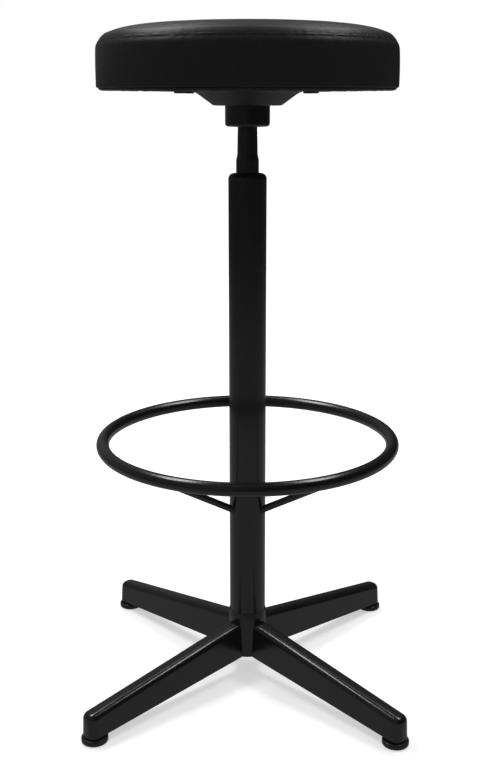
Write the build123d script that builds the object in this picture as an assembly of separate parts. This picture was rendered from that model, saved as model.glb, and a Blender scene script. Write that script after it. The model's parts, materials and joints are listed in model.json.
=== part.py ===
from build123d import *
import os
from math import cos, hypot, radians, sin, tan

# Bar stool: a round padded seat that swivels on a tapered spindle, a tube column with a foot ring, and a
# base of four channel legs. Millimetres. The origin is on the floor under the column's axis, +Z is up, and
# the front is -Y.

# Base: four legs at the diagonals round a sleeve on the column's foot
LEG_ANGLES = {"front_left": 225, "front_right": 315, "rear_right": 45, "rear_left": 135}
LEG_REACH = 264.0
LEG_TOP_HUB_Z = 72.8
LEG_TOP_TIP_Z = 37.5
LEG_BASE_HUB_Z = 27.0
LEG_BASE_TIP_Z = 9.0
LEG_TOP_WIDTH = 22.0
LEG_BASE_WIDTH = 26.0
LEG_CROWN_RADIUS = 8.0
LEG_END_RADIUS = 10.5
LEG_WALL = 2.5
SLEEVE_WALL = 2.0
SLEEVE_ABOVE_LEGS = 14.5
SLEEVE_TOP_TAPER = 7.0
SLEEVE_TOP_EDGE = 0.5
WELD_GAP = 0.05

# Glides: a disc on a neck, held by a stud in a plastic socket inside the leg's end
GLIDE_FROM_LEG_END = 12.5
GLIDE_D = 32.0
GLIDE_THICK = 7.0
GLIDE_EDGE_RADIUS = 2.0
GLIDE_NECK_D = 16.0
STUD_D = 8.0
STUD_IN_GLIDE = 7.0
STUD_IN_SOCKET = 16.0
STUD_FIT = 0.05
SOCKET_LENGTH = 30.0
SOCKET_HEIGHT = 20.0
SOCKET_ABOVE_LEG_BASE = 2.5
SOCKET_FIT = 0.1

# Column: a tube with a domed bush at the top and a plug at the foot
COLUMN_D = 46.0
COLUMN_WALL = 2.0
COLUMN_TOP_Z = 642.0
BUSH_FIT = 0.05
BUSH_DOME_HEIGHT = 9.0
BUSH_DOME_RISE = 1.0
BUSH_DOME_RADIUS = 6.5
TOP_BUSH_DEPTH = 40.0
LOWER_BUSH_LENGTH = 30.0
LOWER_BUSH_ABOVE_BEARING = 6.0
PLUG_LENGTH = 12.0
PLUG_WALL = 2.5

# Thrust bearing on a plate welded inside the column
BEARING_SEAT_Z = 460.0
BEARING_PLATE_THICK = 9.5
BEARING_RECESS = 1.5
RACE_D = 28.0
RACE_THICK = 3.0
RACE_BORE_ROOM = 0.6
RACE_FIT = 0.05
BALL_D = 5.0
BALL_COUNT = 9
BALL_CIRCLE_D = 22.4
BALL_GROOVE_DEPTH = 1.0
BALL_FIT = 0.05
CAGE_WALL = 0.7
CAGE_THICK = 1.8
CAGE_FIT = 0.1

# Spindle: a journal in the bushes, a spigot through the bearing, and a taper in the seat's hub
JOURNAL_D = 27.2
JOURNAL_FIT = 0.05
JOURNAL_SHOWN = 15.0
STEP_HEIGHT = 6.5
TAPER_D = 24.4
TAPER_HALF_ANGLE = 1.1
TAPER_SHOWN = 32.0
TAPER_FIT = 0.02
TAPER_BELOW_HUB_TOP = 2.0
SPIGOT_D = 15.0
SPIGOT_FIT = 0.02
SPIGOT_BELOW_CLIP = 4.0
SPIGOT_CHAMFER = 1.0
CLIP_THICK = 1.2
CLIP_DEPTH = 0.7
CLIP_D = 20.0
CLIP_OPENING = 60.0
CLIP_FIT = 0.02
WASHER_D = 26.0
WASHER_THICK = 1.5
WASHER_PLAY = 0.2

# Foot ring and its three braces
RING_D = 364.0
RING_TUBE_D = 16.0
RING_TUBE_WALL = 1.5
RING_Z = 318.5
BRACE_D = 9.0
BRACE_COLUMN_Z = 229.0
BRACE_ANGLES = {"front_left": 210, "front_right": 330, "rear": 90}
VENT_D = 5.0

# Seat plate and its hub
HUB_D = 52.8
HUB_HEIGHT = 24.0
HUB_EDGE_RADIUS = 3.5
HUB_NECK_D = 38.0
HUB_NECK_HEIGHT = 14.0
PLATE_THICK = 2.3
PLATE_FIT = 0.05
PLATE_D = 258.0
PLATE_DISH_DEPTH = 16.6
PLATE_FLOOR_D = 80.0
PLATE_WALL_RUN = 23.0
PLATE_FLOOR_BEND = 6.0
PLATE_FLANGE_BEND = 24.0
SCREW_COUNT = 4
SCREW_CIRCLE_D = 208.0
SCREW_FIRST_ANGLE = 45.0
SCREW_D = 6.0
SCREW_FIT = 0.3
SCREW_HEAD_D = 13.0
SCREW_HEAD_THICK = 3.0
SCREW_HEAD_RADIUS = 1.5

# Seat cushion: plywood board, foam and a sewn cover with a crowned top
SEAT_D = 350.0
SEAT_SIDE_HEIGHT = 43.4
SHOULDER_RADIUS = 21.0
SHOULDER_TURN = 66.0
RIM_RADIUS = 70.0
RIM_TURN = 20.7
SEAM_TURN = 52.0
SEAM_GROOVE = 0.5
COVER_THICK = 1.2
HEM_RADIUS = 3.5
COVER_TURN_UNDER = 28.0
SOFT_GAP = 0.2
FOAM_SIDE = 10.6
BOARD_THICK = 12.0
DUST_COVER_THICK = 0.6
DUST_COVER_MARGIN = 18.0
TEE_NUT_BARREL_D = 8.4
TEE_NUT_BARREL_LENGTH = 9.0
TEE_NUT_FLANGE_D = 19.0
TEE_NUT_FLANGE_THICK = 1.5
TEE_NUT_FIT = 0.05
STAPLE_COUNT = 24
STAPLE_MARGIN = 24.0
STAPLE_CROWN = 10.0
STAPLE_WIRE = 0.8
STAPLE_LEG = 7.0

# Radii and levels that follow from the sizes above
COLUMN_R = COLUMN_D / 2
COLUMN_BORE_R = COLUMN_R - COLUMN_WALL
SLEEVE_R = COLUMN_R + SLEEVE_WALL
LEG_ROOT_X = SLEEVE_R / 2
FOOT_R = LEG_REACH - GLIDE_FROM_LEG_END
RING_R = RING_D / 2
RING_TUBE_R = RING_TUBE_D / 2
JOURNAL_R = JOURNAL_D / 2
SPIGOT_R = SPIGOT_D / 2
BALL_R = BALL_D / 2
BALL_CIRCLE_R = BALL_CIRCLE_D / 2
BALL_Z = BEARING_SEAT_Z + RACE_THICK - BALL_GROOVE_DEPTH + BALL_R
UPPER_RACE_Z = BALL_Z + BALL_R - BALL_GROOVE_DEPTH
JOURNAL_FOOT_Z = UPPER_RACE_Z + RACE_THICK
BEARING_PLATE_Z = BEARING_SEAT_Z + BEARING_RECESS - BEARING_PLATE_THICK
WASHER_Z = BEARING_PLATE_Z - WASHER_PLAY - WASHER_THICK
CLIP_Z = WASHER_Z - CLIP_THICK
JOURNAL_TOP_Z = COLUMN_TOP_Z + BUSH_DOME_HEIGHT + JOURNAL_SHOWN
TAPER_Z = JOURNAL_TOP_Z + STEP_HEIGHT
HUB_Z = TAPER_Z + TAPER_SHOWN
PLATE_FLOOR_Z = HUB_Z + HUB_HEIGHT
HUB_TOP_Z = PLATE_FLOOR_Z + HUB_NECK_HEIGHT
FLANGE_Z = PLATE_FLOOR_Z + PLATE_DISH_DEPTH
HEM_Z = FLANGE_Z + PLATE_THICK + DUST_COVER_THICK
BOARD_Z = HEM_Z + COVER_THICK
BOARD_TOP_Z = BOARD_Z + BOARD_THICK
SEAT_R = SEAT_D / 2
BOARD_R = SEAT_R - COVER_THICK - SOFT_GAP - FOAM_SIDE
SIDE_TOP_Z = HEM_Z + SEAT_SIDE_HEIGHT
SCREW_CIRCLE_R = SCREW_CIRCLE_D / 2

ON_BASE = (Align.CENTER, Align.CENTER, Align.MIN)


def disc(radius, low, high):
    """An upright cylinder on the column's axis, from one level to another."""
    return Pos(0, 0, low) * Cylinder(radius, high - low, align=ON_BASE)


def tube(outer_radius, inner_radius, low, high):
    """An upright tube on the column's axis."""
    return disc(outer_radius, low, high) - disc(inner_radius, low, high)


def turned(*outline):
    """A solid turned about the column's axis from corner points (radius, level)."""
    return revolve(Plane.XZ * make_face(Polyline(*outline, close=True)), Axis.Z)


def around(shape, count, radius, first=0.0):
    """Copies of a shape, evenly spaced on a circle about the column's axis from a first angle."""
    return [Rot(0, 0, first + 360 * i / count) * Pos(radius, 0, 0) * shape for i in range(count)]


def at_screws(shape):
    """Copies of a shape at the seat plate's screws."""
    return around(shape, SCREW_COUNT, SCREW_CIRCLE_R, SCREW_FIRST_ANGLE)


def without(shape, tools):
    """A shape with each of several tools cut away."""
    for tool in tools:
        shape = shape - tool
    return shape


def circle_edge(shape, radius, level):
    """The shape's round edge at a radius and level."""
    def miss(edge):
        box = edge.bounding_box()
        return abs(box.max.X - radius) + abs(box.max.Z - level) + box.size.Z
    return min(shape.edges().filter_by(GeomType.CIRCLE), key=miss)


# Base


def between(at_hub, at_tip, x):
    """A leg's level at a distance from the axis, straight from the sleeve to the leg's end."""
    return at_hub + (at_tip - at_hub) * (x - SLEEVE_R) / (LEG_REACH - SLEEVE_R)


def leg_half_width(x, level):
    """Half the leg's outside width, which grows from its top to its lower edge."""
    top = between(LEG_TOP_HUB_Z, LEG_TOP_TIP_Z, x)
    base = between(LEG_BASE_HUB_Z, LEG_BASE_TIP_Z, x)
    share = (top - level) / (top - base)
    return (LEG_TOP_WIDTH + (LEG_BASE_WIDTH - LEG_TOP_WIDTH) * share) / 2


def leg_block(inset=0.0, below=0.0):
    """The leg's outside form along +X, drawn in by an inset and carried below its lower edge."""
    reach = LEG_REACH - inset

    def section(x):
        top = between(LEG_TOP_HUB_Z, LEG_TOP_TIP_Z, x) - inset
        base = between(LEG_BASE_HUB_Z, LEG_BASE_TIP_Z, x) - below
        half_top = leg_half_width(x, top) - inset
        half_base = leg_half_width(x, base) - inset
        outline = Polyline((-half_base, base), (half_base, base), (half_top, top), (-half_top, top), close=True)
        return Plane(origin=(x, 0, 0), x_dir=(0, 1, 0), z_dir=(1, 0, 0)) * make_face(outline)

    block = loft([section(LEG_ROOT_X), section(reach)], ruled=True)
    end_face = block.faces().sort_by(Axis.X)[-1]
    corners = [e for e in end_face.edges() if e.bounding_box().size.Z > e.bounding_box().size.Y]
    block = fillet(corners, LEG_END_RADIUS - inset)
    top_face = max(block.faces(), key=lambda face: face.center().Z)
    crown = [e for e in top_face.edges() if e.center().X > LEG_ROOT_X + LEG_WALL]
    return fillet(crown, LEG_CROWN_RADIUS - inset)


def make_leg():
    """A channel leg, open below, coped to the sleeve."""
    sleeve = disc(SLEEVE_R, 0, LEG_TOP_HUB_Z + SLEEVE_ABOVE_LEGS)
    return leg_block() - leg_block(LEG_WALL, LEG_WALL) - sleeve


def socket_z():
    """The level of the socket's lower face, just inside the leg's end."""
    return between(LEG_BASE_HUB_Z, LEG_BASE_TIP_Z, FOOT_R) + SOCKET_ABOVE_LEG_BASE


def make_socket():
    """The block inside the leg's end that takes the glide's stud."""
    inside = leg_block(LEG_WALL + SOCKET_FIT, LEG_WALL)
    room = Pos(LEG_REACH, 0, socket_z()) * Box(
        2 * SOCKET_LENGTH, LEG_BASE_WIDTH, SOCKET_HEIGHT, align=ON_BASE
    )
    hole = Pos(FOOT_R, 0, socket_z()) * Cylinder(STUD_D / 2 + STUD_FIT, STUD_IN_SOCKET, align=ON_BASE)
    return (inside & room) - hole


def make_glide():
    """A glide on its own axis: a rounded disc with a neck up to the socket."""
    foot = disc(GLIDE_D / 2, 0, GLIDE_THICK)
    foot = fillet(foot.edges().filter_by(GeomType.CIRCLE), GLIDE_EDGE_RADIUS)
    neck = disc(GLIDE_NECK_D / 2, GLIDE_THICK / 2, socket_z())
    hole = disc(STUD_D / 2 + STUD_FIT, socket_z() - STUD_IN_GLIDE, socket_z())
    return Pos(FOOT_R, 0, 0) * (foot + neck - hole)


def make_stud():
    """The steel stud between glide and socket."""
    low = socket_z() - STUD_IN_GLIDE
    return Pos(FOOT_R, 0, 0) * disc(STUD_D / 2, low, socket_z() + STUD_IN_SOCKET)


def make_sleeve():
    """The sleeve round the column's foot that the legs are welded to, drawn in at its top."""
    bore = COLUMN_R + WELD_GAP
    top = LEG_TOP_HUB_Z + SLEEVE_ABOVE_LEGS
    return turned(
        (bore, LEG_BASE_HUB_Z),
        (SLEEVE_R, LEG_BASE_HUB_Z),
        (SLEEVE_R, top - SLEEVE_TOP_TAPER),
        (bore + SLEEVE_TOP_EDGE, top),
        (bore, top),
    )


# Column and bearing


def make_top_bush():
    """The flanged bush whose dome closes the column's top round the spindle."""
    bore = JOURNAL_R + JOURNAL_FIT
    spigot = COLUMN_BORE_R - BUSH_FIT
    top = COLUMN_TOP_Z + BUSH_DOME_HEIGHT
    edge = top - BUSH_DOME_RISE
    bush = turned(
        (bore, COLUMN_TOP_Z - TOP_BUSH_DEPTH),
        (spigot, COLUMN_TOP_Z - TOP_BUSH_DEPTH),
        (spigot, COLUMN_TOP_Z),
        (COLUMN_R, COLUMN_TOP_Z),
        (COLUMN_R, edge),
        (bore, top),
    )
    return fillet(circle_edge(bush, COLUMN_R, edge), BUSH_DOME_RADIUS)


def make_lower_bush():
    """The plain bush that guides the journal just above the bearing."""
    low = JOURNAL_FOOT_Z + LOWER_BUSH_ABOVE_BEARING
    return tube(COLUMN_BORE_R - BUSH_FIT, JOURNAL_R + JOURNAL_FIT, low, low + LOWER_BUSH_LENGTH)


def make_plug():
    """The cup that closes the column's lower end."""
    outer = COLUMN_BORE_R - BUSH_FIT
    top = LEG_BASE_HUB_Z + PLUG_LENGTH
    return disc(outer, LEG_BASE_HUB_Z, top) - disc(outer - PLUG_WALL, LEG_BASE_HUB_Z + PLUG_WALL, top)


def make_bearing_plate():
    """The disc welded inside the column, with a recess for the lower race."""
    top = BEARING_PLATE_Z + BEARING_PLATE_THICK
    plate = tube(COLUMN_BORE_R - WELD_GAP, SPIGOT_R + RACE_BORE_ROOM, BEARING_PLATE_Z, top)
    return plate - disc(RACE_D / 2 + RACE_FIT, BEARING_SEAT_Z, top)


def ball_groove():
    """The round groove that the balls run in."""
    return Pos(0, 0, BALL_Z) * Torus(BALL_CIRCLE_R, BALL_R + BALL_FIT)


def make_lower_race():
    """The race that rests in the bearing plate."""
    race = tube(RACE_D / 2, SPIGOT_R + RACE_BORE_ROOM, BEARING_SEAT_Z, BEARING_SEAT_Z + RACE_THICK)
    return race - ball_groove()


def make_upper_race():
    """The race under the journal's shoulder, which turns with the spindle."""
    return tube(RACE_D / 2, SPIGOT_R + SPIGOT_FIT, UPPER_RACE_Z, JOURNAL_FOOT_Z) - ball_groove()


def make_cage():
    """The flat ring that keeps the balls apart."""
    half_width = BALL_R + CAGE_FIT + CAGE_WALL
    low = BALL_Z - CAGE_THICK / 2
    ring = tube(BALL_CIRCLE_R + half_width, BALL_CIRCLE_R - half_width, low, low + CAGE_THICK)
    return without(ring, around(disc(BALL_R + CAGE_FIT, low, low + CAGE_THICK), BALL_COUNT, BALL_CIRCLE_R))


def make_balls():
    """The bearing's balls."""
    return Compound(around(Pos(0, 0, BALL_Z) * Sphere(BALL_R), BALL_COUNT, BALL_CIRCLE_R))


def taper_radius(level):
    """The spindle taper's radius at a level."""
    return TAPER_D / 2 - (level - TAPER_Z) * tan(radians(TAPER_HALF_ANGLE))


def make_spindle():
    """Journal, spigot with a clip groove, and taper in one turned piece."""
    foot = CLIP_Z - SPIGOT_BELOW_CLIP
    taper_top = HUB_TOP_Z - TAPER_BELOW_HUB_TOP
    return turned(
        (0, foot),
        (SPIGOT_R - SPIGOT_CHAMFER, foot),
        (SPIGOT_R, foot + SPIGOT_CHAMFER),
        (SPIGOT_R, CLIP_Z),
        (SPIGOT_R - CLIP_DEPTH, CLIP_Z),
        (SPIGOT_R - CLIP_DEPTH, WASHER_Z),
        (SPIGOT_R, WASHER_Z),
        (SPIGOT_R, JOURNAL_FOOT_Z),
        (JOURNAL_R, JOURNAL_FOOT_Z),
        (JOURNAL_R, JOURNAL_TOP_Z),
        (taper_radius(TAPER_Z), TAPER_Z),
        (taper_radius(taper_top), taper_top),
        (0, taper_top),
    )


def make_washer():
    """The washer under the bearing plate that stops the seat from being lifted out."""
    return tube(WASHER_D / 2, SPIGOT_R + SPIGOT_FIT, WASHER_Z, WASHER_Z + WASHER_THICK)


def make_clip():
    """The open clip in the spigot's groove."""
    ring = tube(CLIP_D / 2, SPIGOT_R - CLIP_DEPTH + CLIP_FIT, CLIP_Z + CLIP_FIT, WASHER_Z)
    half = CLIP_OPENING / 2
    far = CLIP_D
    mouth = Polyline(
        (0, 0),
        (far * cos(radians(half)), -far * sin(radians(half))),
        (far * cos(radians(half)), far * sin(radians(half))),
        close=True,
    )
    return ring - Pos(0, 0, CLIP_Z) * extrude(make_face(mouth), CLIP_THICK)


# Foot ring


def brace_rod(radius, short_of_ring=0.0):
    """A rod along +X from inside the column up to the middle of the ring's tube."""
    run = RING_R - COLUMN_R
    rise = RING_Z - BRACE_COLUMN_Z
    inside = COLUMN_R - COLUMN_WALL
    start_z = BRACE_COLUMN_Z - rise / run * (COLUMN_R - inside)
    length = hypot(RING_R - inside, RING_Z - start_z) - short_of_ring
    along = Plane(origin=(inside, 0, start_z), z_dir=(run, 0, rise))
    return along * Cylinder(radius, length, align=ON_BASE)


def ring_tube(radius):
    """A solid ring with the foot ring's size."""
    return Pos(0, 0, RING_Z) * Torus(RING_R, radius)


def make_brace():
    """A brace rod, coped to the column and to the ring."""
    column = disc(COLUMN_R, 0, COLUMN_TOP_Z)
    return brace_rod(BRACE_D / 2) - column - ring_tube(RING_TUBE_R)


def make_ring():
    """The foot ring's tube, with a vent under each brace."""
    ring = ring_tube(RING_TUBE_R) - ring_tube(RING_TUBE_R - RING_TUBE_WALL)
    return without(ring, [Rot(0, 0, turn) * brace_rod(VENT_D / 2) for turn in BRACE_ANGLES.values()])


# Seat plate and hub


def make_hub():
    """The thick hub under the plate with the tapered bore, and its neck through the plate's floor."""
    hub = disc(HUB_D / 2, HUB_Z, PLATE_FLOOR_Z)
    hub = fillet(circle_edge(hub, HUB_D / 2, HUB_Z), HUB_EDGE_RADIUS)
    hub = hub + disc(HUB_NECK_D / 2, HUB_Z, HUB_TOP_Z)
    bore = turned(
        (0, HUB_Z),
        (taper_radius(HUB_Z) + TAPER_FIT, HUB_Z),
        (taper_radius(HUB_TOP_Z) + TAPER_FIT, HUB_TOP_Z),
        (0, HUB_TOP_Z),
    )
    return hub - bore


def make_seat_plate():
    """The pressed dish: flat floor, sloping wall and a wide flat flange with the screw holes."""
    underside = FilletPolyline(
        (HUB_NECK_D / 2 + PLATE_FIT, PLATE_FLOOR_Z),
        (PLATE_FLOOR_D / 2, PLATE_FLOOR_Z),
        (PLATE_FLOOR_D / 2 + PLATE_WALL_RUN, FLANGE_Z),
        (PLATE_D / 2, FLANGE_Z),
        radius=[PLATE_FLOOR_BEND, PLATE_FLANGE_BEND],
    )
    sheet = underside.offset_2d(PLATE_THICK, side=Side.LEFT, closed=True)
    plate = revolve(Plane.XZ * make_face(sheet), Axis.Z)
    hole = disc(SCREW_D / 2 + SCREW_FIT, FLANGE_Z, FLANGE_Z + PLATE_THICK)
    return without(plate, at_screws(hole))


def make_screws():
    """The screws through the plate's flange into the tee nuts."""
    head = disc(SCREW_HEAD_D / 2, FLANGE_Z - SCREW_HEAD_THICK, FLANGE_Z)
    head = fillet(circle_edge(head, SCREW_HEAD_D / 2, FLANGE_Z - SCREW_HEAD_THICK), SCREW_HEAD_RADIUS)
    screw = head + disc(SCREW_D / 2, FLANGE_Z - SCREW_HEAD_THICK / 2, BOARD_TOP_Z - TEE_NUT_FLANGE_THICK)
    return Compound(at_screws(screw))


# Seat cushion


def make_board():
    """The plywood disc, with a stepped hole for each tee nut."""
    barrel = disc(TEE_NUT_BARREL_D / 2 + TEE_NUT_FIT, BOARD_Z, BOARD_TOP_Z)
    flange = disc(TEE_NUT_FLANGE_D / 2 + TEE_NUT_FIT, BOARD_TOP_Z - TEE_NUT_FLANGE_THICK, BOARD_TOP_Z)
    holes = at_screws(barrel + flange)
    return without(disc(BOARD_R, BOARD_Z, BOARD_TOP_Z), holes)


def make_tee_nuts():
    """The nuts let into the board's top."""
    low = BOARD_TOP_Z - TEE_NUT_FLANGE_THICK - TEE_NUT_BARREL_LENGTH
    nut = disc(TEE_NUT_FLANGE_D / 2, BOARD_TOP_Z - TEE_NUT_FLANGE_THICK, BOARD_TOP_Z)
    nut = nut + disc(TEE_NUT_BARREL_D / 2, low, BOARD_TOP_Z)
    nut = nut - disc(SCREW_D / 2 + TEE_NUT_FIT, low, BOARD_TOP_Z)
    return Compound(at_screws(nut))


def shoulder_point(inset, turn):
    """The point on the cushion's shoulder arc at an angle up from its side, drawn in by an inset."""
    radius = SHOULDER_RADIUS - inset
    across = SEAT_R - SHOULDER_RADIUS + radius * cos(radians(turn))
    return across, SIDE_TOP_Z + radius * sin(radians(turn))


def shoulder_arc(inset, start, end):
    """A stretch of the shoulder arc."""
    tangent = (-sin(radians(start)), cos(radians(start)))
    return JernArc(shoulder_point(inset, start), tangent, SHOULDER_RADIUS - inset, end - start)


def crown_arcs(inset):
    """The two flatter arcs from the shoulder to the middle of the seat's top."""
    left = 90 - SHOULDER_TURN - RIM_TURN
    rim_end = shoulder_point(0, SHOULDER_TURN)[0]
    rim_end = rim_end - RIM_RADIUS * (cos(radians(SHOULDER_TURN)) - sin(radians(left)))
    tangent = (-sin(radians(SHOULDER_TURN)), cos(radians(SHOULDER_TURN)))
    rim = JernArc(shoulder_point(inset, SHOULDER_TURN), tangent, RIM_RADIUS - inset, RIM_TURN)
    return [rim, JernArc(rim @ 1, rim % 1, rim_end / sin(radians(left)) - inset, left)]


def turned_from(edges):
    """A solid turned about the column's axis from the edges of a closed outline."""
    return revolve(Plane.XZ * make_face(edges), Axis.Z)


def make_foam():
    """The foam: a crowned pad over the board with a skirt round its rim."""
    inset = COVER_THICK + SOFT_GAP
    arcs = [shoulder_arc(inset, 0, SHOULDER_TURN), *crown_arcs(inset)]
    rim = BOARD_R + SOFT_GAP
    corners = Polyline(
        arcs[-1] @ 1,
        (0, BOARD_TOP_Z + SOFT_GAP),
        (rim, BOARD_TOP_Z + SOFT_GAP),
        (rim, HEM_Z + inset),
        (SEAT_R - HEM_RADIUS, HEM_Z + inset),
    )
    hem = JernArc(corners @ 1, (1, 0), HEM_RADIUS - inset, 90)
    side = Line(hem @ 1, arcs[0] @ 0)
    return turned_from([*arcs, *corners.edges(), hem, side])


def make_cover_top():
    """The crowned top panel, down to the seam on the shoulder."""
    outside = [shoulder_arc(0, SEAM_TURN, SHOULDER_TURN), *crown_arcs(0)]
    inside = [shoulder_arc(COVER_THICK, SEAM_TURN, SHOULDER_TURN), *crown_arcs(COVER_THICK)]
    ends = [Line(outside[0] @ 0, inside[0] @ 0), Line(outside[-1] @ 1, inside[-1] @ 1)]
    panel = turned_from([*outside, *inside, *ends])
    return chamfer(circle_edge(panel, *shoulder_point(0, SEAM_TURN)), SEAM_GROOVE)


def make_cover_band():
    """The side band, from the seam down round the hem and in under the board."""
    def outline(inset):
        level = HEM_Z + inset
        start = (SEAT_R - COVER_TURN_UNDER, level)
        corner = (SEAT_R - HEM_RADIUS, level)
        hem = JernArc(corner, (1, 0), HEM_RADIUS - inset, 90)
        return [Line(start, corner), hem, Line(hem @ 1, shoulder_point(inset, 0)), shoulder_arc(inset, 0, SEAM_TURN)]

    outside = outline(0)
    inside = outline(COVER_THICK)
    ends = [Line(outside[0] @ 0, inside[0] @ 0), Line(outside[-1] @ 1, inside[-1] @ 1)]
    band = turned_from([*outside, *inside, *ends])
    return chamfer(circle_edge(band, *shoulder_point(0, SEAM_TURN)), SEAM_GROOVE)


def make_dust_cover():
    """The cloth disc under the board that hides the cover's turned edge."""
    cloth = disc(SEAT_R - DUST_COVER_MARGIN, HEM_Z - DUST_COVER_THICK, HEM_Z)
    hole = disc(SCREW_D / 2 + SCREW_FIT, HEM_Z - DUST_COVER_THICK, HEM_Z)
    return without(cloth, at_screws(hole))


def make_staples():
    """The staples through dust cover and band into the board."""
    crown_top = HEM_Z - DUST_COVER_THICK
    crown = Pos(0, 0, crown_top - STAPLE_WIRE) * Box(STAPLE_WIRE, STAPLE_CROWN, STAPLE_WIRE, align=ON_BASE)
    leg = Box(STAPLE_WIRE, STAPLE_WIRE, STAPLE_LEG + STAPLE_WIRE, align=ON_BASE)
    side = (STAPLE_CROWN - STAPLE_WIRE) / 2
    legs = [Pos(0, y, crown_top - STAPLE_WIRE) * leg for y in (-side, side)]
    return Compound(around(crown + legs[0] + legs[1], STAPLE_COUNT, SEAT_R - STAPLE_MARGIN))


def write(name, shape):
    """One file for each piece."""
    export_step(shape, os.path.join("parts", name + ".step"))


os.makedirs("parts", exist_ok=True)
leg = make_leg()
socket = make_socket()
glide = make_glide()
for corner, angle in LEG_ANGLES.items():
    place = Rot(0, 0, angle)
    write("leg_" + corner, place * leg)
    write("glide_socket_" + corner, place * socket)
    write("glide_" + corner, place * glide)
write("glide_studs", Compound([Rot(0, 0, angle) * make_stud() for angle in LEG_ANGLES.values()]))
write("hub_sleeve", make_sleeve())
write("column_tube", tube(COLUMN_R, COLUMN_BORE_R, LEG_BASE_HUB_Z, COLUMN_TOP_Z))
write("column_plug", make_plug())
write("top_bush", make_top_bush())
write("lower_bush", make_lower_bush())
write("bearing_plate", make_bearing_plate())
write("lower_race", make_lower_race())
write("upper_race", make_upper_race())
write("bearing_cage", make_cage())
write("bearing_balls", make_balls())
write("spindle", make_spindle())
write("retaining_washer", make_washer())
write("retaining_clip", make_clip())
write("foot_ring", make_ring())
brace = make_brace()
for name, angle in BRACE_ANGLES.items():
    write("brace_" + name, Rot(0, 0, angle) * brace)
write("taper_hub", make_hub())
write("seat_plate", make_seat_plate())
write("plate_screws", make_screws())
write("seat_board", make_board())
write("tee_nuts", make_tee_nuts())
write("seat_foam", make_foam())
write("seat_cover_top", make_cover_top())
write("seat_cover_band", make_cover_band())
write("dust_cover", make_dust_cover())
write("cover_staples", make_staples())
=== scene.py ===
import json
from math import atan2, cos, exp, hypot, pi, radians, sin

import bmesh
import bpy
from mathutils import Matrix, Vector, noise


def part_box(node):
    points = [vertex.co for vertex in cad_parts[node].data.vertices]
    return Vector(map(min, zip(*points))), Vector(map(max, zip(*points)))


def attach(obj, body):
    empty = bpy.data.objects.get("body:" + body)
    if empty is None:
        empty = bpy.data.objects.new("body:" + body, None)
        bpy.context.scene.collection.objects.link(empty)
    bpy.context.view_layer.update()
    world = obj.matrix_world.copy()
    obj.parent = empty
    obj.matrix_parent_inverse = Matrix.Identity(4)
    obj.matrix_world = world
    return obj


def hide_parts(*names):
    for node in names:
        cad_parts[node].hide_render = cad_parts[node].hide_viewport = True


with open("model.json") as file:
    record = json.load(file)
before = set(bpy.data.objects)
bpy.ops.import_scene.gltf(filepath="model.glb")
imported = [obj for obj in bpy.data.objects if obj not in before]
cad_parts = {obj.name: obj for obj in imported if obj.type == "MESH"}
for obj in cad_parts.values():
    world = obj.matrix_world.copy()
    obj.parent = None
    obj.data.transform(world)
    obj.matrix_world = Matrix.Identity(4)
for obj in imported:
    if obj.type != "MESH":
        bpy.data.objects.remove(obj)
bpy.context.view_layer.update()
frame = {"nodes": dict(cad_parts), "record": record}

# Bar stool with a black leatherette seat, dressed for a studio picture. Metres, in the frame of the solids.

# Seat cushion, from the solids of its cover: shoulder, rim, hem and the roll under it. Turns in degrees
SEAT_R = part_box("seat_cover_band")[1][0]
HEM_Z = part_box("seat_cover_band")[0][2]
BOARD_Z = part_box("seat_board")[0][2]
SIDE_HEIGHT = 0.0434
SHOULDER_R = 0.021
SHOULDER_TURN = 66
RIM_R = 0.070
RIM_TURN = 20.7
SEAM_TURN = 25
HEM_R = 0.003
HEM_SAG = 0.0006
HEM_TURN = 140
TURN_UNDER = 0.028
ROLL_R = SEAT_R - 0.010
ROLL_HALF_WIDTH = 0.0065
ROLL_DEPTH = 0.0037
ROLL_EASE = 0.4
ROLL_TURN = 30
EDGE_STEP = 0.001

# Mesh of the cushion: points along each stretch of its outline, and round the seat
CROWN_STEPS = 18
RIM_STEPS = 7
SHOULDER_STEPS = 10
BELOW_SEAM_STEPS = 8
SIDE_STEPS = 9
HEM_STEPS = 7
ROLL_STEPS = 12
AROUND = 240
MERGE_DISTANCE = 1e-6

# Stuffing: how far the cover starts inside its final shape, how far it swells, and how full its side is
STUFF_INSET = 0.0008
STUFF_CAP = 0.0011
STUFF_PRESSURE = 4
STUFF_FRAMES = 20
PANEL_SMOOTHING = 24
SMOOTHING_SHARE = 0.5
BAND_FULLNESS = 0.0012
FULLNESS_POWER = 4

# Seam on the shoulder: the width that the thread holds, its groove and stitches, and the puckers beside it
SEAM_HOLD = 0.0005
SEAM_DEPTH = 0.0010
SEAM_WIDTH_ABOVE = 0.0010
SEAM_WIDTH_BELOW = 0.0042
STITCH_SHARE = 0.25
PUCKER_DEPTH = 0.00045
PUCKER_MEAN = 0.4
PUCKER_REACH = 0.008
PUCKERS_AROUND = 34

# Slow waves of the side, the join of the band's ends at the back, and pleats in the edge that is turned under
WAVE_DEPTH = 0.0005
WAVE_REACH = 0.03
WAVES_AROUND = 3.0
WAVES_UP = 25
JOIN_DEPTH = 0.0006
JOIN_HALF_WIDTH = 0.0011
PLEAT_DEPTH = 0.0012
PLEATS_AROUND = 13

# Layers of the noise, so that puckers above and below the seam and pleats differ
ABOVE_SEAM_LAYER = 1.0
BELOW_SEAM_LAYER = 5.0
PLEAT_LAYER = 9.0

# Dust cloth, from its solid: its level above the underside, the widths of its rings of faces, points round it
DUST_CLOTH_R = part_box("dust_cover")[1][0]
DUST_CLOTH_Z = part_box("dust_cover")[0][2]
DUST_CLOTH_LIFT = 0.0003
DUST_CLOTH_RINGS = (0.006, 0.006, 0.010, 0.016, 0.020, 0.020)
DUST_CLOTH_AROUND = 192

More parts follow.
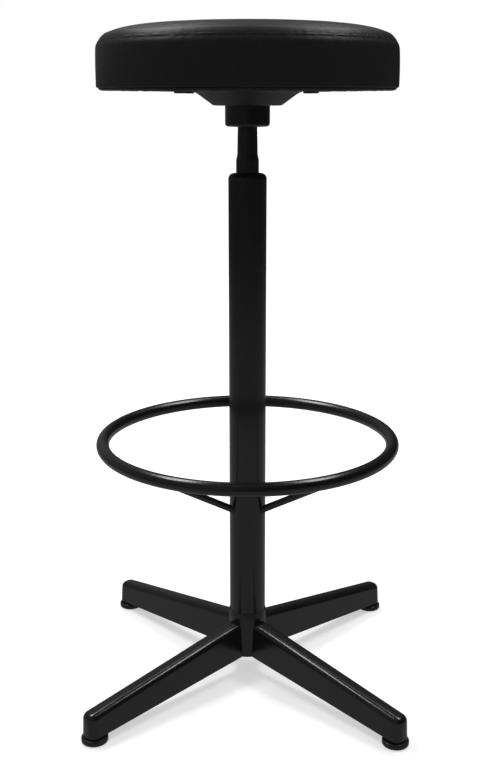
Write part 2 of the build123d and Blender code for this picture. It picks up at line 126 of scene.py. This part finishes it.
# Welds on the braces of the foot ring
RING_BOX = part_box("foot_ring")
COLUMN_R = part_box("column_tube")[1][0]
RING_Z = (RING_BOX[0][2] + RING_BOX[1][2]) / 2
RING_TUBE_R = (RING_BOX[1][2] - RING_BOX[0][2]) / 2
RING_R = RING_BOX[1][0] - RING_TUBE_R
BRACE_R = 0.0045
BRACE_COLUMN_Z = 0.229
BRACE_TURNS = (210, 330, 90)
BEAD_R = 0.0015
BEAD_ROOM = 0.0002
BEAD_INTO_RING = 0.0006
BEAD_RIPPLES = 9
BEAD_RIPPLE_SHARE = 0.03
BEAD_SIDES = 10
BEAD_AROUND = 72

# Camera, from the photograph's perspective
CAMERA_DISTANCE = 1.320
CAMERA_Z = 0.741
CAMERA_TURN = 1.04
CAMERA_PITCH = 14.84
LENS = 51.22
PHOTO_SHIFT = -0.0026

# Finishes: the range of the noise that is spread, and the sockets of a mix node that hold colours
NOISE_RANGE = (0.3, 0.7)
MIX_DARK, MIX_LIGHT, MIX_RESULT = 6, 7, 2

# Powder coat: the levels between which it turns matt on the plate, and how much rougher it is there
MATT_LEVELS = (0.725, 0.730)
MATT_ROUGHER = 0.32

# Plastic and steel: how far the roughness of plastic spreads, and the darker share of a steel's colour
MOULDED_SPREAD = 0.05
STEEL_SHADE = 0.8

# Reflections: how bright the floor is in them, near and far, the walls, right and left, and the ceiling
MIRRORED_FLOOR = (0.34, 0.06)
MIRRORED_FLOOR_REACH = (0.8, 4.0)
MIRRORED_WALLS = (0.025, 0.19)
WALLS_FADE = 0.3
MIRRORED_CEILING = 0.22
CEILING_TOWARD = (0, 0.3, 0.95)
CEILING_FADE = (0.75, 0.95)

# Studio: a floor whose glow grows with the distance from the stool, soft light, and softboxes overhead
FLOOR_HALF_SIZE = 30
FLOOR_DROP = 0.0002
FLOOR_GREY = 0.62
FLOOR_GLOW = (0.5, 0.95)
FLOOR_GLOW_REACH = (0.4, 2.0)
SOFT_LIGHT = 0.5
LAMP_TARGET = (0, 0, 0.6)

# Each softbox: place, width, depth and watts
SOFTBOXES = {
    "softbox_left": ((-0.70, 0.52, 2.0), 0.8, 0.45, 14),
    "softbox_right": ((0.70, 0.52, 2.0), 0.8, 0.45, 10),
    "softbox_rear_left": ((-0.40, 1.12, 2.0), 0.3, 0.35, 1.6),
    "softbox_rear_right": ((0.40, 1.12, 2.0), 0.3, 0.35, 1.4),
    "softbox_side_left": ((-0.95, 0.05, 2.0), 0.35, 0.35, 5.5),
    "softbox_side_right": ((0.95, 0.05, 2.0), 0.35, 0.35, 5),
}


# Materials


def node(tree, kind, values=None, links=None, **settings):
    """A shader node with its settings, constant inputs and links."""
    made = tree.nodes.new(kind)
    for setting, value in settings.items():
        setattr(made, setting, value)
    for socket, value in (values or {}).items():
        made.inputs[socket].default_value = value
    for socket, source in (links or {}).items():
        tree.links.new(source, made.inputs[socket])
    return made


def finish(name, sockets):
    """A new material whose shader has these constants; returns the material, its tree and its shader."""
    made = bpy.data.materials.new(name)
    made.use_nodes = True
    shader = made.node_tree.nodes["Principled BSDF"]
    for socket, value in sockets.items():
        shader.inputs[socket].default_value = value
    return made, made.node_tree, shader


def grain(tree, scale, detail=2.0, stretch=(1, 1, 1)):
    """Noise on the object's own coordinates, with so many cells to the metre."""
    place = node(tree, "ShaderNodeTexCoord").outputs["Object"]
    place = node(tree, "ShaderNodeMapping", {"Scale": stretch}, {"Vector": place}).outputs["Vector"]
    values = {"Scale": scale, "Detail": detail}
    return node(tree, "ShaderNodeTexNoise", values, {"Vector": place}).outputs["Fac"]


def faded(tree, source, reach, values):
    """A value that goes from one to another while the source passes through a range."""
    fade = {"From Min": reach[0], "From Max": reach[1], "To Min": values[0], "To Max": values[1]}
    return node(tree, "ShaderNodeMapRange", fade, {"Value": source}).outputs["Result"]


def larger(tree, first, second):
    """The larger of two values."""
    return node(tree, "ShaderNodeMath", None, {0: first, 1: second}, operation="MAXIMUM").outputs[0]


def spread(tree, source, low, high):
    """A noise value spread over a range."""
    return faded(tree, source, NOISE_RANGE, (low, high))


def colour_mix(tree, factor, dark, light):
    """A colour between two by a factor."""
    made = node(tree, "ShaderNodeMix", data_type="RGBA")
    made.inputs[MIX_DARK].default_value = dark
    made.inputs[MIX_LIGHT].default_value = light
    tree.links.new(factor, made.inputs["Factor"])
    return made.outputs[MIX_RESULT]


def bump(tree, height, distance, strength=1.0, over=None):
    """A bump of a height in metres, over another bump if there is one."""
    links = {"Height": height}
    if over:
        links["Normal"] = over
    return node(tree, "ShaderNodeBump", {"Distance": distance, "Strength": strength}, links).outputs["Normal"]


def grey(value, tint=0.0):
    """A grey, with a slight cold tint if one is given."""
    return (value, value, value * (1 + tint), 1)


def powder_coat():
    """Black powder coat: satin with fine orange peel, and matt on the plate under the seat."""
    made, tree, shader = finish("powder_coat_black", {"Specular IOR Level": 0.5})
    colour = colour_mix(tree, grain(tree, 90), grey(0.0050), grey(0.0065, 0.05))
    tree.links.new(colour, shader.inputs["Base Color"])
    place = node(tree, "ShaderNodeTexCoord").outputs["Object"]
    level = node(tree, "ShaderNodeSeparateXYZ", None, {0: place}).outputs["Z"]
    on_plate = faded(tree, level, MATT_LEVELS, (0.0, 1.0))
    satin = spread(tree, grain(tree, 150), 0.18, 0.24)
    links = {0: on_plate, 2: satin}
    roughness = node(tree, "ShaderNodeMath", {1: MATT_ROUGHER}, links, operation="MULTIPLY_ADD")
    tree.links.new(roughness.outputs[0], shader.inputs["Roughness"])
    peel = bump(tree, grain(tree, 520), 0.00012, 0.5)
    tree.links.new(bump(tree, grain(tree, 2600, 1.0), 0.00003, 0.4, peel), shader.inputs["Normal"])
    return made


def turned_black():
    """Blackened turned steel: fine rings round the axis and an oiled gloss."""
    made, tree, shader = finish("spindle_turned_black", {"Specular IOR Level": 0.4})
    rings = grain(tree, 60, 3.0, (0.2, 0.2, 40))
    tree.links.new(colour_mix(tree, rings, grey(0.006), grey(0.010, 0.06)), shader.inputs["Base Color"])
    tree.links.new(spread(tree, rings, 0.22, 0.36), shader.inputs["Roughness"])
    tree.links.new(bump(tree, rings, 0.00004, 0.5), shader.inputs["Normal"])
    return made


def moulded_black(name, roughness):
    """Moulded black plastic with a fine matt texture."""
    made, tree, shader = finish(name, {"Specular IOR Level": 0.4})
    colour = colour_mix(tree, grain(tree, 200), grey(0.0055), grey(0.0085))
    tree.links.new(colour, shader.inputs["Base Color"])
    matt = spread(tree, grain(tree, 800), roughness - MOULDED_SPREAD, roughness + MOULDED_SPREAD)
    tree.links.new(matt, shader.inputs["Roughness"])
    tree.links.new(bump(tree, grain(tree, 1800), 0.00006, 0.5), shader.inputs["Normal"])
    return made


def plated_steel(name, colour, low, high):
    """Bare or plated steel with a slight grain."""
    made, tree, shader = finish(name, {"Metallic": 1.0})
    dark = (*(share * STEEL_SHADE for share in colour), 1)
    tree.links.new(colour_mix(tree, grain(tree, 260), dark, (*colour, 1)), shader.inputs["Base Color"])
    tree.links.new(spread(tree, grain(tree, 700), low, high), shader.inputs["Roughness"])
    tree.links.new(bump(tree, grain(tree, 1500), 0.00003, 0.4), shader.inputs["Normal"])
    return made


def leatherette():
    """Black leatherette: pebbles with creases between them, satin on top and duller in the creases, with
    painted shade in the creases.
    """
    made, tree, shader = finish("leatherette_black", {"Specular IOR Level": 0.09})
    place = node(tree, "ShaderNodeTexCoord").outputs["Object"]
    drift = node(tree, "ShaderNodeTexNoise", {"Scale": 300.0, "Detail": 1.0}, {"Vector": place})
    links = {0: drift.outputs["Color"]}
    drift = node(tree, "ShaderNodeVectorMath", {1: (0.0012, 0.0012, 0.0012)}, links, operation="MULTIPLY")
    links = {0: place, 1: drift.outputs[0]}
    bent = node(tree, "ShaderNodeVectorMath", None, links, operation="ADD").outputs[0]
    pebbles = node(tree, "ShaderNodeTexVoronoi", {"Scale": 700.0}, {"Vector": bent}, feature="F1")
    height = faded(tree, pebbles.outputs["Distance"], (0.0, 0.7), (1.0, 0.0))
    # The base colour is lighter on the pebble tops and darker in the creases between them: painted shade in
    # the creases
    tree.links.new(colour_mix(tree, height, grey(0.0130), grey(0.0180)), shader.inputs["Base Color"])
    tree.links.new(spread(tree, height, 0.44, 0.34), shader.inputs["Roughness"])
    soft = bump(tree, grain(tree, 55, 3.0), 0.0006, 0.15)
    tree.links.new(bump(tree, height, 0.00022, 0.35, soft), shader.inputs["Normal"])
    return made


def dust_felt():
    """Black non-woven cloth: short fibres in all directions."""
    made, tree, shader = finish("dust_cloth_black", {"Specular IOR Level": 0.1, "Sheen Weight": 0.05})
    fibres = grain(tree, 900, 3.0, (1, 0.25, 1))
    crossed = grain(tree, 900, 3.0, (0.25, 1, 1))
    both = larger(tree, fibres, crossed)
    tree.links.new(colour_mix(tree, both, grey(0.006), grey(0.018)), shader.inputs["Base Color"])
    tree.links.new(spread(tree, both, 0.85, 0.95), shader.inputs["Roughness"])
    tree.links.new(bump(tree, both, 0.0002, 0.6), shader.inputs["Normal"])
    return made


def plywood():
    """Pale plywood, with plies along the edge and grain across the face."""
    made, tree, shader = finish("seat_plywood", {"Roughness": 0.7})
    lines = grain(tree, 30, 4.0, (1, 12, 40))
    colour = colour_mix(tree, lines, (0.36, 0.24, 0.14, 1), (0.58, 0.43, 0.27, 1))
    tree.links.new(colour, shader.inputs["Base Color"])
    tree.links.new(bump(tree, lines, 0.0002, 0.4), shader.inputs["Normal"])
    return made


# The finish of each slot. The cushion stands for the foam, so the foam's finish doesn't show
FINISHES = {
    "powder_coat": powder_coat(),
    "spindle_black": turned_black(),
    "bush_plastic": moulded_black("bush_nylon_black", 0.42),
    "glide_plastic": moulded_black("glide_plastic_black", 0.38),
    "bearing_steel": plated_steel("bearing_steel_bright", (0.62, 0.62, 0.63), 0.12, 0.22),
    "zinc_steel": plated_steel("zinc_plated_steel", (0.45, 0.46, 0.48), 0.28, 0.42),
    "leatherette": leatherette(),
    "seat_foam": dust_felt(),
    "plywood": plywood(),
    "dust_cloth": dust_felt(),
}


def dress_solids():
    """Each solid takes the finish of its slot in the record."""
    for part in frame["record"]["subparts"]:
        slots = frame["nodes"][part["node"]].data.materials
        slots.clear()
        slots.append(FINISHES[part["material_slot"]])


# Mesh helpers


def add_object(name, data):
    """An object of this name in the scene."""
    made = bpy.data.objects.new(name, data)
    bpy.context.scene.collection.objects.link(made)
    return made


def piece_from(mesh_builder, name, body, slot):
    """An object from a bmesh, smooth, riding on a body and finished as its slot says."""
    mesh = bpy.data.meshes.new(name)
    mesh_builder.to_mesh(mesh)
    mesh_builder.free()
    mesh.shade_smooth()
    made = add_object(name, mesh)
    mesh.materials.append(FINISHES[slot])
    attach(made, body)
    return made


def arc(centre, radius, start, end, steps):
    """Points (radius, level) along an arc between two turns up from the horizontal."""
    turns = [radians(start + (end - start) * i / steps) for i in range(1, steps + 1)]
    return [(centre[0] + radius * cos(t), centre[1] + radius * sin(t)) for t in turns]


# Seat cushion


def cushion_outline(inset):
    """Outline of the cushion's cover from the middle of its top to the edge that is turned under."""
    side_top = HEM_Z + SIDE_HEIGHT
    shoulder = (SEAT_R - SHOULDER_R, side_top)
    turn = radians(SHOULDER_TURN)
    flatter = SHOULDER_R - RIM_R
    rim = (shoulder[0] + flatter * cos(turn), shoulder[1] + flatter * sin(turn))
    crown_turn = SHOULDER_TURN + RIM_TURN
    rim_end = rim[0] + RIM_R * cos(radians(crown_turn))
    crown_r = rim_end / cos(radians(crown_turn))
    crown = (0.0, rim[1] + (RIM_R - crown_r) * sin(radians(crown_turn)))
    hem_z = HEM_Z - HEM_SAG
    hem = (SEAT_R - HEM_R, hem_z + HEM_R)
    points = [(0.0, crown[1] + crown_r - inset)]
    points += arc(crown, crown_r - inset, 90, crown_turn, CROWN_STEPS)
    points += arc(rim, RIM_R - inset, crown_turn, SHOULDER_TURN, RIM_STEPS)
    points += arc(shoulder, SHOULDER_R - inset, SHOULDER_TURN, SEAM_TURN, SHOULDER_STEPS)
    points += arc(shoulder, SHOULDER_R - inset, SEAM_TURN, 0, BELOW_SEAM_STEPS)
    levels = [side_top + (hem[1] - side_top) * i / SIDE_STEPS for i in range(1, SIDE_STEPS + 1)]
    points += [(SEAT_R - inset, z) for z in levels]
    points += arc(hem, HEM_R - inset, 0, -HEM_TURN, HEM_STEPS)
    turns = [radians(-ROLL_TURN + (180 + ROLL_TURN) * i / ROLL_STEPS) for i in range(ROLL_STEPS + 1)]
    points += [(ROLL_R + ROLL_HALF_WIDTH * cos(t), hem_z - ROLL_DEPTH * sin(t)) for t in turns]
    under = SEAT_R - TURN_UNDER
    return points + [(under, hem_z + inset), (under - EDGE_STEP, BOARD_Z), (0.0, BOARD_Z)]


def seam_point(inset):
    """The seam's place on the shoulder: radius and level."""
    turn = radians(SEAM_TURN)
    reach = SHOULDER_R - inset
    return SEAT_R - SHOULDER_R + reach * cos(turn), HEM_Z + SIDE_HEIGHT + reach * sin(turn)


def turned_mesh(points, steps):
    """A closed mesh turned about the column's axis from an outline that starts and ends on the axis."""
    made = bmesh.new()
    corners = [made.verts.new((r, 0.0, z)) for r, z in points]
    edges = [made.edges.new(pair) for pair in zip(corners, corners[1:])]
    bmesh.ops.spin(
        made, geom=corners + edges, cent=(0, 0, 0), axis=(0, 0, 1), angle=2 * pi, steps=steps, use_merge=True
    )
    bmesh.ops.remove_doubles(made, verts=made.verts, dist=MERGE_DISTANCE)
    bmesh.ops.recalc_face_normals(made, faces=made.faces)
    return made


def stuff(cover):
    """Swell the cover between its seams by a cloth simulation with pressure, and keep the capped result."""
    seam = seam_point(STUFF_INSET)
    held = cover.vertex_groups.new(name="held")
    for v in cover.data.vertices:
        across = hypot(v.co.x, v.co.y)
        on_seam = hypot(across - seam[0], v.co.z - seam[1]) < SEAM_HOLD
        if on_seam or v.co.z < HEM_Z + HEM_R:
            held.add([v.index], 1.0, "REPLACE")
    cloth = cover.modifiers.new("stuffing", "CLOTH")
    cloth.settings.vertex_group_mass = held.name
    cloth.settings.use_pressure = True
    cloth.settings.uniform_pressure_force = STUFF_PRESSURE
    cloth.settings.effector_weights.gravity = 0
    cloth.point_cache.frame_end = STUFF_FRAMES
    for step in range(1, STUFF_FRAMES + 1):
        bpy.context.scene.frame_set(step)
    swollen = cover.evaluated_get(bpy.context.evaluated_depsgraph_get()).data
    for v, moved in zip(cover.data.vertices, swollen.vertices):
        shift = moved.co - v.co
        if shift.length > STUFF_CAP:
            shift = shift * (STUFF_CAP / shift.length)
        v.co = v.co + shift
    cover.modifiers.remove(cloth)
    bpy.context.scene.frame_set(1)


def refine(cover):
    """Draw the top panel smooth above its seam and divide every face of the cover in four."""
    finer = bmesh.new()
    finer.from_mesh(cover.data)
    above = seam_point(STUFF_INSET)[1] + PUCKER_REACH
    panel = [v for v in finer.verts if v.co.z > above]
    for _ in range(PANEL_SMOOTHING):
        bmesh.ops.smooth_vert(
            finer, verts=panel, factor=SMOOTHING_SHARE, use_axis_x=True, use_axis_y=True, use_axis_z=True
        )
    bmesh.ops.subdivide_edges(finer, edges=finer.edges, cuts=1, use_grid_fill=True)
    finer.to_mesh(cover.data)
    finer.free()


def ripple(turn, count, layer):
    """A smooth random value round the seat, which closes on itself."""
    return noise.noise(Vector((count * cos(turn), count * sin(turn), layer)))


def sew(cover):
    """Press in the seams, pucker the cover along them, fill out its side and pleat the edge turned under."""
    seam = seam_point(STUFF_INSET)
    outward = [n.vector.copy() for n in cover.data.vertex_normals]
    for v, normal in zip(cover.data.vertices, outward):
        across = hypot(v.co.x, v.co.y)
        turn = atan2(v.co.y, v.co.x)
        away = hypot(across - seam[0], v.co.z - seam[1])
        width, layer = SEAM_WIDTH_BELOW, BELOW_SEAM_LAYER
        if v.co.z > seam[1]:
            width, layer = SEAM_WIDTH_ABOVE, ABOVE_SEAM_LAYER
        depth = SEAM_DEPTH * exp(-((away / width) ** 2)) * (1 + STITCH_SHARE * cos(AROUND * turn))
        reach = exp(-((away / PUCKER_REACH) ** 2))
        depth += PUCKER_DEPTH * reach * (PUCKER_MEAN + ripple(turn, PUCKERS_AROUND, layer))
        if v.co.z > HEM_Z + HEM_R and across > SEAT_R - WAVE_REACH:
            depth -= WAVE_DEPTH * ripple(turn, WAVES_AROUND, v.co.z * WAVES_UP)
        if HEM_Z < v.co.z < seam[1] and v.co.y > 0:
            depth += JOIN_DEPTH * exp(-((v.co.x / JOIN_HALF_WIDTH) ** 2))
        fold = max(0.0, (HEM_Z - HEM_SAG - v.co.z) / ROLL_DEPTH)
        below = min(1.0, max(0.0, (seam[1] - v.co.z) / (seam[1] - HEM_Z)))
        full = 0.0
        if across > SEAT_R - TURN_UNDER:
            full = BAND_FULLNESS * (1 - (1 - below) ** FULLNESS_POWER) / across
        v.co.z += PLEAT_DEPTH * fold * abs(ripple(turn, PLEATS_AROUND, PLEAT_LAYER))
        v.co.z += ROLL_EASE * ROLL_DEPTH * fold * (v.co.x / SEAT_R) ** 2
        v.co = v.co - normal * depth + Vector((v.co.x * full, v.co.y * full, 0))


def seat_cushion():
    """The sewn cover, stuffed tight over foam and board."""
    shell = turned_mesh(cushion_outline(STUFF_INSET), AROUND)
    cover = piece_from(shell, "seat_cushion", "seat", "leatherette")
    stuff(cover)
    refine(cover)
    sew(cover)
    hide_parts("seat_cover_top", "seat_cover_band", "seat_foam")


def dust_cloth():
    """The thin cloth under the board, drawn tight between its staples."""
    made = bmesh.new()
    bmesh.ops.create_circle(made, cap_ends=True, segments=DUST_CLOTH_AROUND, radius=DUST_CLOTH_R)
    bmesh.ops.translate(made, verts=made.verts, vec=(0, 0, DUST_CLOTH_Z + DUST_CLOTH_LIFT))
    for ring in DUST_CLOTH_RINGS:
        middle = max(made.faces, key=lambda face: len(face.verts))
        bmesh.ops.inset_region(made, faces=[middle], thickness=ring)
    bmesh.ops.recalc_face_normals(made, faces=made.faces)
    made.normal_update()
    cloth = piece_from(made, "dust_cloth", "seat", "dust_cloth")
    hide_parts("dust_cover")


# Welds


def bead(name, place, tall):
    """A rippled weld bead: a ring about its place's Z axis, taller along X where the joint is aslant."""
    made = bmesh.new()
    bmesh.ops.create_circle(made, segments=BEAD_SIDES, radius=BEAD_R)
    bmesh.ops.rotate(made, verts=made.verts, cent=(0, 0, 0), matrix=Matrix.Rotation(pi / 2, 3, "X"))
    bmesh.ops.translate(made, verts=made.verts, vec=(BRACE_R + BEAD_ROOM, 0, 0))
    section = made.verts[:] + made.edges[:]
    bmesh.ops.spin(
        made, geom=section, cent=(0, 0, 0), axis=(0, 0, 1), angle=2 * pi, steps=BEAD_AROUND, use_merge=True
    )
    bmesh.ops.recalc_face_normals(made, faces=made.faces)
    for v in made.verts:
        wave = 1 + BEAD_RIPPLE_SHARE * sin(BEAD_RIPPLES * 2 * atan2(v.co.y, v.co.x))
        v.co = Vector((v.co.x * wave * tall, v.co.y * wave, v.co.z * wave))
    bmesh.ops.transform(made, verts=made.verts, matrix=place)
    piece_from(made, name, "base", "powder_coat")


def brace_welds():
    """Two beads on each brace, at the column and at the ring."""
    run = RING_R - COLUMN_R
    rise = RING_Z - BRACE_COLUMN_Z
    length = hypot(run, rise)
    slope = atan2(rise, run)
    along = Vector((run / length, 0, rise / length))
    at_ring = Vector((RING_R, 0, RING_Z)) - along * (RING_TUBE_R - BEAD_INTO_RING)
    facing = Matrix.Rotation(pi / 2, 4, "Y")
    for turn in BRACE_TURNS:
        about = Matrix.Rotation(radians(turn), 4, "Z")
        place = about @ Matrix.Translation((COLUMN_R, 0, BRACE_COLUMN_Z)) @ facing
        bead("weld_column_%d" % turn, place, 1 / cos(slope))
        place = about @ Matrix.Translation(at_ring) @ Matrix.Rotation(-slope, 4, "Y") @ facing
        bead("weld_ring_%d" % turn, place, 1.0)


# Studio


def floor():
    """A pale floor, white away from the stool, that keeps its soft shadow and is dimmer in reflections."""
    made = bmesh.new()
    bmesh.ops.create_grid(made, x_segments=1, y_segments=1, size=FLOOR_HALF_SIZE)
    bmesh.ops.translate(made, verts=made.verts, vec=(0, 0, -FLOOR_DROP))
    mesh = bpy.data.meshes.new("studio_floor")
    made.to_mesh(mesh)
    made.free()
    paint = bpy.data.materials.new("floor_white")
    paint.use_nodes = True
    tree = paint.node_tree
    tree.nodes.clear()
    path = node(tree, "ShaderNodeLightPath").outputs
    place = node(tree, "ShaderNodeTexCoord").outputs["Object"]
    away = node(tree, "ShaderNodeVectorMath", None, {0: place}, operation="LENGTH").outputs["Value"]
    seen = larger(tree, path["Is Camera Ray"], path["Is Transmission Ray"])
    glow = faded(tree, away, FLOOR_GLOW_REACH, FLOOR_GLOW)
    glow = node(tree, "ShaderNodeMath", None, {0: glow, 1: seen}, operation="MULTIPLY").outputs[0]
    light = node(tree, "ShaderNodeEmission", None, {"Strength": glow})
    matt = node(tree, "ShaderNodeBsdfDiffuse", {"Color": grey(FLOOR_GREY)})
    both = node(tree, "ShaderNodeAddShader", None, {0: light.outputs[0], 1: matt.outputs[0]})
    dim = faded(tree, away, MIRRORED_FLOOR_REACH, MIRRORED_FLOOR)
    dim = node(tree, "ShaderNodeEmission", None, {"Strength": dim})
    links = {0: path["Is Glossy Ray"], 1: both.outputs[0], 2: dim.outputs[0]}
    shown = node(tree, "ShaderNodeMixShader", None, links)
    node(tree, "ShaderNodeOutputMaterial", None, {"Surface": shown.outputs[0]})
    mesh.materials.append(paint)
    add_object("studio_floor", mesh)


def surroundings():
    """White surroundings, a dimmer room in reflections, and an even soft light on the object."""
    world = bpy.data.worlds.new("studio")
    bpy.context.scene.world = world
    world.use_nodes = True
    tree = world.node_tree
    tree.nodes.clear()
    path = node(tree, "ShaderNodeLightPath").outputs
    toward = node(tree, "ShaderNodeTexCoord").outputs["Generated"]
    sideways = node(tree, "ShaderNodeSeparateXYZ", None, {0: toward}).outputs["X"]
    walls = faded(tree, sideways, (WALLS_FADE, -WALLS_FADE), MIRRORED_WALLS)
    up = node(tree, "ShaderNodeVectorMath", {1: CEILING_TOWARD}, {0: toward}, operation="DOT_PRODUCT")
    ceiling = faded(tree, up.outputs["Value"], CEILING_FADE, (0.0, MIRRORED_CEILING))
    room = node(tree, "ShaderNodeMath", None, {0: walls, 1: ceiling}, operation="ADD").outputs[0]
    mirrored = node(tree, "ShaderNodeBackground", {"Color": grey(1.0)}, {"Strength": room})
    white = node(tree, "ShaderNodeBackground", {"Color": grey(1.0), "Strength": 1.0})
    soft = node(tree, "ShaderNodeBackground", {"Color": grey(1.0), "Strength": SOFT_LIGHT})
    glossy = larger(tree, path["Is Glossy Ray"], path["Is Transmission Ray"])
    lit = node(tree, "ShaderNodeMixShader", None, {0: glossy, 1: soft.outputs[0], 2: mirrored.outputs[0]})
    links = {0: path["Is Camera Ray"], 1: lit.outputs[0], 2: white.outputs[0]}
    seen = node(tree, "ShaderNodeMixShader", None, links)
    node(tree, "ShaderNodeOutputWorld", None, {"Surface": seen.outputs[0]})


def softbox(name, place, width, depth, power):
    """A soft rectangular lamp aimed at the middle of the stool."""
    lamp = bpy.data.lights.new(name, "AREA")
    lamp.shape = "RECTANGLE"
    lamp.size = width
    lamp.size_y = depth
    lamp.energy = power
    made = add_object(name, lamp)
    made.location = place
    made.rotation_euler = (Vector(LAMP_TARGET) - Vector(place)).to_track_quat("-Z", "Y").to_euler()


def camera():
    """The photograph's point of view."""
    data = bpy.data.cameras.new("photo_camera")
    data.lens = LENS
    data.shift_x = PHOTO_SHIFT
    made = add_object("photo_camera", data)
    turn = radians(CAMERA_TURN)
    made.location = (CAMERA_DISTANCE * sin(turn), -CAMERA_DISTANCE * cos(turn), CAMERA_Z)
    made.rotation_euler = (radians(90 - CAMERA_PITCH), 0, turn)
    bpy.context.scene.camera = made


dress_solids()
seat_cushion()
dust_cloth()
brace_welds()
floor()
surroundings()
for name, setting in SOFTBOXES.items():
    softbox(name, *setting)
camera()
bpy.context.scene.view_settings.view_transform = "Standard"
